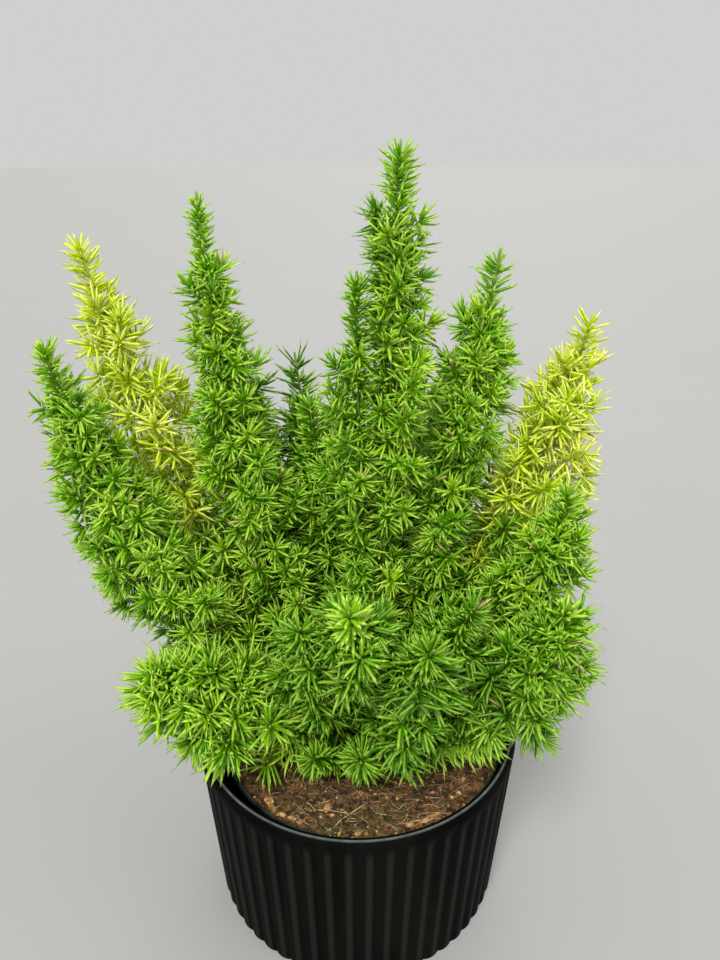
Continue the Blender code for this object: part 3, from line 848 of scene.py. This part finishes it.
class Shoots:
    """All side shoots of one frond, as arrays.

    Their number up to a height is the plume's surface up to there over the area for each.
    A shoot's direction turns evenly from its start to its end, in the plane of the stem and
    of its own outward side, so that its line is an arc."""

    def __init__(self, frond, number):
        chance = np.random.default_rng([7, number])
        tint = frond_tint(frond.name)
        run = np.arange(FOOT_CLEAR + 0.001, frond.length - SHOOT_TOP_GAP, WIDTH_STEP)
        turn = np.tile(np.arange(WIDTH_RAYS) * math.tau / WIDTH_RAYS, len(run))[:, None]
        centre, way, upper = frond.at(np.repeat(run, WIDTH_RAYS))
        outward = np.cos(turn) * frond.across + np.sin(turn) * upper
        width = frond.reach(centre + outward * RAY_START, outward)
        width = width.reshape(-1, WIDTH_RAYS).mean(1) + RAY_START
        bare = (run > frond.length - BARE_TIP) & (width < NARROW)
        due = np.cumsum(math.tau * width * WIDTH_STEP * ~bare) / SHOOT_AREA[tint]
        order = np.arange(int(due[-1])) + 0.5
        self.run = np.interp(order, due, run)
        count = len(order)
        turn = (order * GOLDEN + chance.normal(0, 0.3, count))[:, None]
        self.centre, self.way, upper = frond.at(self.run)
        self.outward = np.cos(turn) * frond.across + np.sin(turn) * upper
        rise = np.clip((self.run - FOOT_CLEAR) / LEAN_RISE, 0, 1)
        near_tip = 1 - np.clip((frond.length - self.run) / TIP_LENGTH, 0, 1)
        lean = SHOOT_LEAN - LEAN_LOSS * rise - TIP_LEAN_LOSS * near_tip
        self.lean = np.radians(lean + chance.normal(0, LEAN_SPREAD, count))
        mean = np.cos(self.lean)[:, None] * self.way + np.sin(self.lean)[:, None] * self.outward
        start = self.centre + self.outward * SHOOT_START
        stop = SHOOT_STOP * chance.uniform(-0.1, 1.9, count)
        reach = frond.reach(start, mean) + START_REACH
        self.length = np.maximum(reach - stop, LEAST_SHOOT)
        keep = reach > LEAST_REACH
        for part in ("run", "centre", "way", "outward", "lean", "length"):
            setattr(self, part, getattr(self, part)[keep])
        self.count = len(self.run)

    def place(self, shoot, share):
        """Points at a share of the way along shoots, and their directions there."""
        first = self.lean[shoot] + SHOOT_CURVE / 2
        now = first - SHOOT_CURVE * share
        ahead = (np.sin(first) - np.sin(now)) / SHOOT_CURVE
        out = (np.cos(now) - np.cos(first)) / SHOOT_CURVE
        way, outward = self.way[shoot], self.outward[shoot]
        length = self.length[shoot][:, None]
        points = self.centre[shoot] + length * (ahead[:, None] * way + out[:, None] * outward)
        return points, np.cos(now)[:, None] * way + np.sin(now)[:, None] * outward


all_shoots = [Shoots(frond, number) for number, frond in enumerate(fronds)]

for frond, shoots in zip(fronds, all_shoots):
    if not shoots.count:
        continue
    row_share = np.linspace(0, 1, SHOOT_ROWS)
    shoot = np.repeat(np.arange(shoots.count), SHOOT_ROWS)
    centre, way = shoots.place(shoot, np.tile(row_share, shoots.count))
    side = unit(np.cross(shoots.way, shoots.outward))[shoot]
    over = np.cross(way, side)
    turn = np.arange(SHOOT_SIDES) * math.tau / SHOOT_SIDES
    arm = np.cos(turn)[:, None] * side[:, None] + np.sin(turn)[:, None] * over[:, None]
    radius = SHOOT_RADIUS * (1 - SHOOT_TAPER * np.tile(row_share, shoots.count))
    rings = (centre[:, None] + arm * radius[:, None, None]).reshape(shoots.count, -1, 3)
    ends = centre.reshape(shoots.count, SHOOT_ROWS, 3)[:, [0, -1]]
    ends[:, 1] += way.reshape(shoots.count, SHOOT_ROWS, 3)[:, -1] * 0.0005
    points = np.concatenate([rings, ends], 1).reshape(-1, 3)
    add_piece(
        "side_shoots_" + frond.name, points, tube_faces(shoots.count, SHOOT_ROWS, SHOOT_SIDES),
        [shoot_finishes[frond_tint(frond.name)]],
    )


# Needles.
# The fern's flat green needles stand in whorls along every side shoot, close together at its end,
# where they open into a star, and straight on the stem near the frond's tip. Each is slender,
# keeled above, pointed and slightly curved, and paler in its last quarter, partly its own paler
# tip and partly a painted highlight, and on one side of its keel, a painted highlight. One side
# shoot's needles share one green.
# Lengths of fronds, and length and width of the needles of a frond that long.
NEEDLE_LENGTH = ((0.12, 0.17, 0.25), (0.0142, 0.0122, 0.0106))
NEEDLE_WIDTH = ((0.12, 0.17, 0.25), (0.00185, 0.00175, 0.00155))
LIME_BREADTH = 1.12
# A needle's two rings: share of its length, and share of its width there.
NEEDLE_RINGS = ((0.22, 1.0), (0.72, 0.86))
# Its section, in widths: two edges and the keel between them.
NEEDLE_SECTION = ((0.5, -0.12), (0.0, 0.28), (-0.5, -0.12))
# Mean and spread of its curl, as a share of its length, and the spread of its roll.
NEEDLE_CURL = (0.08, 0.13)
NEEDLE_ROLL = 0.7
# Spread and limits of lengths and widths, against the usual.
LENGTH_SPREAD = 0.15
LENGTH_LIMITS = (0.6, 1.3)
WIDTH_SPREAD = 0.1
WIDTH_LIMITS = (0.75, 1.3)
# Spread of the angles between needle and shoot or stem, in degrees.
WHORL_SPREAD = 13
TIP_WHORL_SPREAD = 8
# Share of the places on side shoots that stay empty, and the share of a shoot, next to the
# stem, that has no needles.
MISSING = {"green": 0.05, "lime": 0.2}
LEAST_SHARE = 0.16
# Needles on the stem itself start this far below the tip, and go down this share of the stem.
TIP_INSET = 0.0070
STEM_NEEDLE_SHARE = 0.62
# Whorls counted back from a shoot's end: distance in millimetres, angle, number of needles.
WHORLS = np.array([
    (0.0, 22, 3), (0.5, 44, 4), (1.6, 60, 4), (3.0, 68, 4), (4.6, 74, 4), (6.4, 76, 4),
    (8.4, 78, 4), (10.6, 80, 4), (13.0, 80, 3), (15.6, 80, 3), (19.0, 82, 3), (22.0, 82, 3),
])
# The same counted back from the frond's own tip.
TIP_WHORLS = np.array(
    [(0.0, 34, 3), (0.3, 46, 5), (1.1, 56, 6), (2.3, 62, 6), (3.4, 66, 6)]
    + [(4.6 + 1.35 * k, 66, 6) for k in range(24)]
    + [(38 + 2.6 * k, 68, 5) for k in range(10)]
    + [(66 + 4.5 * k, 68, 4) for k in range(18)]
)
# Length of needles against a frond's usual, by millimetres back from a shoot's end and from
# the frond's tip.
WHORL_SIZE = ((0, 1, 6, 20), (0.85, 1.0, 0.98, 0.85))
TIP_WHORL_SIZE = ((0, 3, 12, 40), (0.84, 0.84, 0.88, 1.0))
# Base colour of each finish, deepest first, and the paler colour of its needles' tips, partly
# their own paler tip and partly a painted highlight, and of one keel side, a painted highlight.
GREENS = (
    (shade(74, 136, 2), shade(124, 176, 40)),
    (shade(90, 154, 2), shade(144, 194, 48)),
    (shade(106, 172, 4), shade(160, 208, 56)),
    (shade(122, 187, 6), shade(174, 219, 64)),
    (shade(138, 200, 10), shade(187, 228, 74)),
    (shade(164, 213, 16), shade(200, 234, 78)),
)
LIMES = (
    (shade(210, 240, 26), shade(232, 249, 92)),
    (shade(226, 248, 38), shade(242, 252, 108)),
    (shade(240, 252, 58), shade(250, 254, 134)),
)
DRY = (shade(176, 142, 84), shade(214, 186, 130))
DRY_SHARE = 0.004
# Shares of the greens, deepest first, in a frond of each tone. The tones are partly the fronds'
# own greens and partly painted light and shade: bright fronds stand in full light, shaded and
# deep ones lie in shade.
GREEN_SHARES = {
    "usual": (0.0, 0.14, 0.26, 0.29, 0.22, 0.09),
    "bright": (0.0, 0.06, 0.16, 0.30, 0.34, 0.14),
    "shaded": (0.20, 0.34, 0.26, 0.13, 0.05, 0.02),
    "deep": (0.52, 0.30, 0.13, 0.04, 0.01, 0.0),
}
# Which green the needles on the stem itself have.
TIP_GREEN = {"usual": 3, "bright": 4, "shaded": 3, "deep": 1}
# Which fronds take each tone: lit fronds the bright greens, fronds in shade the darker ones, as
# painted light and shade.
FROND_LIGHT_TONES = {
    "bright": (
        "low_left", "tall_left", "tall_right", "far_left", "tall_centre", "right_side",
    ),
    "shaded": ("low_right", "foot_right"),
    "deep": (
        "front_left", "front_centre", "front_right", "inner_right", "small_rear",
        "foot_centre", "foot_left",
    ),
}
frond_light_tones = {name: tone for tone, group in FROND_LIGHT_TONES.items() for name in group}
# Length of a frond's needles against the usual, for all and for those on the stem itself.
NEEDLE_SCALE = {
    "lime_left": 1.18, "lime_right": 1.22, "low_left": 1.08, "front_left": 0.82,
    "inner_right": 0.9, "foot_centre": 0.95, "foot_left": 0.9, "foot_right": 1.15,
    "small_rear": 1.35,
}
TIP_SCALE = {
    "tall_left": 0.76, "tall_centre": 1.12, "tall_right": 1.15, "far_left": 0.95,
    "lime_left": 0.92, "centre_side": 0.9,
}
# Share of the needles on the stem itself that a frond with an open, feathery tip keeps.
TIP_SHARE = {"tall_right": 0.55, "lime_right": 0.6, "lime_left": 0.65, "small_rear": 0.45}
# Fronds that end in a large bright star of needles, seen end on from the front: their green,
# their needles' length and breadth against the usual, and the bare stem behind the star, in
# millimetres from its front.
TIP_STARS = ("front_centre", "low_right")
STAR_GREEN = 4
STAR_SCALE = 1.06
STAR_BREADTH = 1.2
STAR_GAP = (3.0, 8.0)
# A lime frond starts to turn lime at this share of its length, and takes this much for it.
LIME_START = 0.38
LIME_RANGE = 0.22
# Tips of needles clear the pots and the mix by this much, as far out as this past the
# planter's shoulder, and stay this near to the frame's box.
NEEDLE_CLEARANCE = 0.001
RIM_REACH = 0.003
BOX_MARGIN = 0.002

# Each colour has a body finish and a paler finish; the paler one is partly a painted highlight.
needle_finishes = []
for number, (body, point) in enumerate((*GREENS, *LIMES, DRY)):
    for part, colour, gloss in (("needle", body, 0.34), ("needle_point", point, 0.42)):
        finish, place = begin_finish(f"{part}_{number + 1}")
        end_finish(finish, place, colour, gloss)
        needle_finishes.append(finish)


def needles(base, way, keel, length, width, curl):
    """Points of needles: a base point, two three-cornered rings and the tip, on a line that
    bends towards the keel as the square of the distance along it."""
    side = np.cross(keel, way)
    rings = []
    for share, breadth in NEEDLE_RINGS:
        centre = base + length * (share * way + curl * share * share * keel)
        rings += [
            centre + width * breadth * (x * side + y * keel) for x, y in NEEDLE_SECTION
        ]
    tip = base + length * (way + curl * keel)
    return np.stack([*rings, base, tip], 1)


def whorl(point, axis, away, angle, turn):
    """Base points, directions and keels of needles round an axis, at an angle to it."""
    other = np.cross(axis, away)
    outward = np.cos(turn)[:, None] * away + np.sin(turn)[:, None] * other
    way = np.cos(angle)[:, None] * axis + np.sin(angle)[:, None] * outward
    return point, way, unit(axis - (axis * way).sum(1, keepdims=True) * way)


box_low, box_high = (np.array(corner) for corner in cad_box)
for number, (frond, shoots) in enumerate(zip(fronds, all_shoots)):
    chance = np.random.default_rng([19, number])
    tint = frond_tint(frond.name)
    lime = tint == "lime"
    # Every place where a needle may stand on a side shoot: shoot, whorl, place in the whorl.
    shoot, row, spot = (
        part.ravel()
        for part in np.meshgrid(
            np.arange(shoots.count), np.arange(len(WHORLS)), np.arange(5), indexing="ij"
        )
    )
    back, angle, full = WHORLS[row].T
    share = 1 - back * 0.001 / shoots.length[shoot]
    keep = (spot < full) & (share > LEAST_SHARE) & (chance.random(len(row)) > MISSING[tint])
    shoot, row, spot, back, angle, full, share = (
        part[keep] for part in (shoot, row, spot, back, angle, full, share)
    )
    share = share + chance.normal(0, 0.0005, len(row)) / shoots.length[shoot]
    point, axis = shoots.place(shoot, np.minimum(share, 1))
    away = unit(np.cross(axis, shoots.way[shoot] + 0.01))
    turn = (spot + row * 0.5) * math.tau / full + shoot * 1.7 + chance.normal(0, 0.4, len(row))
    angle = np.radians(angle + chance.normal(0, WHORL_SPREAD, len(row)))
    base, way, keel = whorl(point, axis, away, angle, turn)
    own_length = np.interp(frond.length, *NEEDLE_LENGTH) * NEEDLE_SCALE.get(frond.name, 1)
    size = own_length * np.interp(back, *WHORL_SIZE)

    # The same on the stem itself.
    stem_row, stem_spot = (
        part.ravel()
        for part in np.meshgrid(np.arange(len(TIP_WHORLS)), np.arange(6), indexing="ij")
    )
    drop, stem_angle, full = TIP_WHORLS[stem_row].T
    star = frond.name in TIP_STARS
    keep = (stem_spot < full) & (drop * 0.001 < frond.length * STEM_NEEDLE_SHARE)
    keep &= ~(star & (drop > STAR_GAP[0]) & (drop < STAR_GAP[1]))
    keep &= chance.random(len(drop)) < TIP_SHARE.get(frond.name, 1)
    stem_row, stem_spot, drop, stem_angle, full = (
        part[keep] for part in (stem_row, stem_spot, drop, stem_angle, full)
    )
    point, axis, upper = frond.at(frond.length - TIP_INSET - drop * 0.001)
    turn = (stem_spot + stem_row * 0.5) * math.tau / full + stem_row * 0.9
    turn = turn + chance.normal(0, 0.3, len(turn))
    stem_angle = np.radians(stem_angle + chance.normal(0, TIP_WHORL_SPREAD, len(turn)))
    stem_base, stem_way, stem_keel = whorl(point, axis, upper, stem_angle, turn)
    stem_size = own_length * np.interp(drop, *TIP_WHORL_SIZE)
    stem_size = stem_size * TIP_SCALE.get(frond.name, 1)
    stem_size = stem_size * (STAR_SCALE if star else 1)

    base, way, keel = (
        np.concatenate(pair) for pair in ((base, stem_base), (way, stem_way), (keel, stem_keel))
    )
    count = len(base)
    size = np.concatenate([size, stem_size])
    size = size * np.clip(chance.normal(1, LENGTH_SPREAD, count), *LENGTH_LIMITS)
    width = np.clip(chance.normal(1, WIDTH_SPREAD, count), *WIDTH_LIMITS)
    width = width * np.interp(frond.length, *NEEDLE_WIDTH) * (LIME_BREADTH if lime else 1)
    width[len(row):] *= STAR_BREADTH if star else 1
    curl = chance.normal(*NEEDLE_CURL, count)
    roll = chance.normal(0, NEEDLE_ROLL, count)[:, None]
    keel = np.cos(roll) * keel + np.sin(roll) * np.cross(way, keel)
    # Colour by side shoot, from the frond's tone, which is partly painted light and shade, and
    # one in a few hundred needles dry.
    light_tone = frond_light_tones.get(frond.name, "usual")
    tone = chance.choice(len(GREENS), shoots.count, p=GREEN_SHARES[light_tone])
    tip_tone = STAR_GREEN if star else TIP_GREEN[light_tone]
    if lime:
        fresh = np.clip((shoots.run / frond.length - LIME_START) / LIME_RANGE, 0, 1)
        fresh = fresh > chance.random(shoots.count)
        tone = np.where(fresh, len(GREENS) + chance.integers(0, len(LIMES), shoots.count), tone)
        tip_tone = len(GREENS) + 1
    tone = np.concatenate([tone[shoot], np.full(len(stem_base), tip_tone)])
    tone[chance.random(count) < DRY_SHARE] = len(GREENS + LIMES)

    tip = base + way * size[:, None]
    # None in the mix, in a pot's wall or far past the frame's box.
    over_soil = np.hypot(tip[:, 0] - POT_CENTRE[0], tip[:, 1] - POT_CENTRE[1]) < soil_edge
    over_pots = np.hypot(tip[:, 0], tip[:, 1]) < PLANTER_SHOULDER + RIM_REACH
    lowest = np.where(over_pots, PLANTER_HEIGHT, 0)
    lowest = np.where(over_soil, soil_height(tip[:, 0], tip[:, 1]), lowest)
    inside = ((tip > box_low - BOX_MARGIN) & (tip < box_high + BOX_MARGIN)).all(1)
    keep = inside & (tip[:, 2] > lowest + NEEDLE_CLEARANCE)
    base, way, keel, size, width, curl, tone = (
        part[keep] for part in (base, way, keel, size, width, curl, tone)
    )
    points = needles(base, way, keel, size[:, None], width[:, None], curl[:, None])
    count = len(points)
    quads, triangles = tube_faces(count, 2, 3)
    # Painted highlight: each needle's middle quad, on one side of its keel, and its tip triangles
    # take the paler finish; the tips are partly their own paler colour too.
    bodies = tone * 2
    finish = np.concatenate([
        np.stack([bodies, bodies + 1, bodies], 1).ravel(),
        np.stack([bodies, bodies, bodies, bodies + 1, bodies + 1, bodies + 1], 1).ravel(),
    ])
    add_piece(
        "needles_" + frond.name, points.reshape(-1, 3), (quads, triangles), needle_finishes,
        finish, replaces="plume_" + frond.name,
    )
